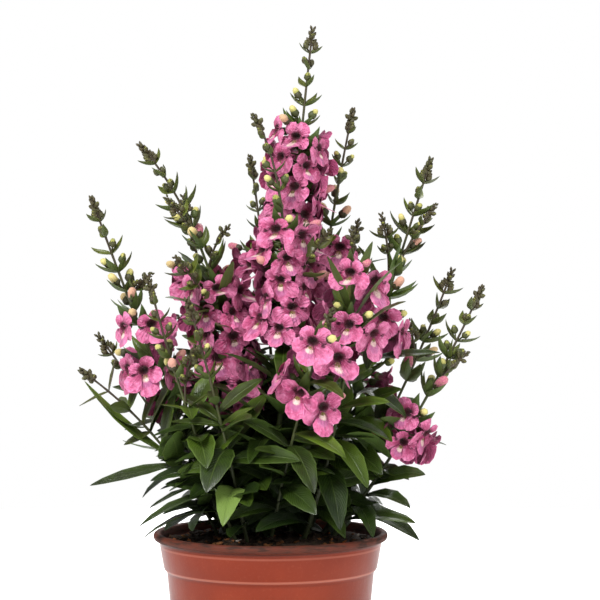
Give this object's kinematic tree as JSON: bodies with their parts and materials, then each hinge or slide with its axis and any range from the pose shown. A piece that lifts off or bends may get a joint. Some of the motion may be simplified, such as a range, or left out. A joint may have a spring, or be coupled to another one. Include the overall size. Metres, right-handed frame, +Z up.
{
  "type": "potted angelonia",
  "caption": "Bushy potted angelonia in bloom: toothed lance-shaped leaves and upright spikes of pink two-lipped flowers in a thin terracotta-coloured nursery pot.",
  "frame": {"origin": "middle of the pot's flat underside", "axes": "+Z up the pot and the plant, -Y the side seen in the picture, +X to its right"},
  "size_m": [0.2078, 0.1584, 0.3612],
  "materials": {
    "terracotta": "glossy",
    "compost": "matte",
    "leaf_green": "satin",
    "petal_pink": "velvety"
  },
  "bodies": {
    "root": {"flowers_back_centre_1": "petal_pink", "flowers_back_left_1": "petal_pink", "flowers_back_low_1": "petal_pink", "flowers_back_right_1": "petal_pink", "flowers_far_left_1": "petal_pink", "flowers_front_low_1": "petal_pink", "flowers_front_of_centre_1": "petal_pink", "flowers_left_1": "petal_pink", "flowers_left_behind_1": "petal_pink", "flowers_lowest_right_1": "petal_pink", "flowers_right_1": "petal_pink", "flowers_right_2": "petal_pink", "flowers_right_of_centre_1": "petal_pink", "flowers_short_right_1": "petal_pink", "flowers_tall_centre_1": "petal_pink", "pot": "terracotta", "soil": "compost", "stem_back_centre": "leaf_green", "stem_back_left": "leaf_green", "stem_back_low": "leaf_green", "stem_back_right": "leaf_green", "stem_far_left": "leaf_green", "stem_far_right": "leaf_green", "stem_front_left": "leaf_green", "stem_front_left_low": "leaf_green", "stem_front_low": "leaf_green", "stem_front_of_centre": "leaf_green", "stem_left": "leaf_green", "stem_left_behind": "leaf_green", "stem_low_left": "leaf_green", "stem_lowest_left": "leaf_green", "stem_lowest_right": "leaf_green", "stem_right": "leaf_green", "stem_right_of_centre": "leaf_green", "stem_short_right": "leaf_green", "stem_tall_centre": "leaf_green"}
  },
  "joints": []
}
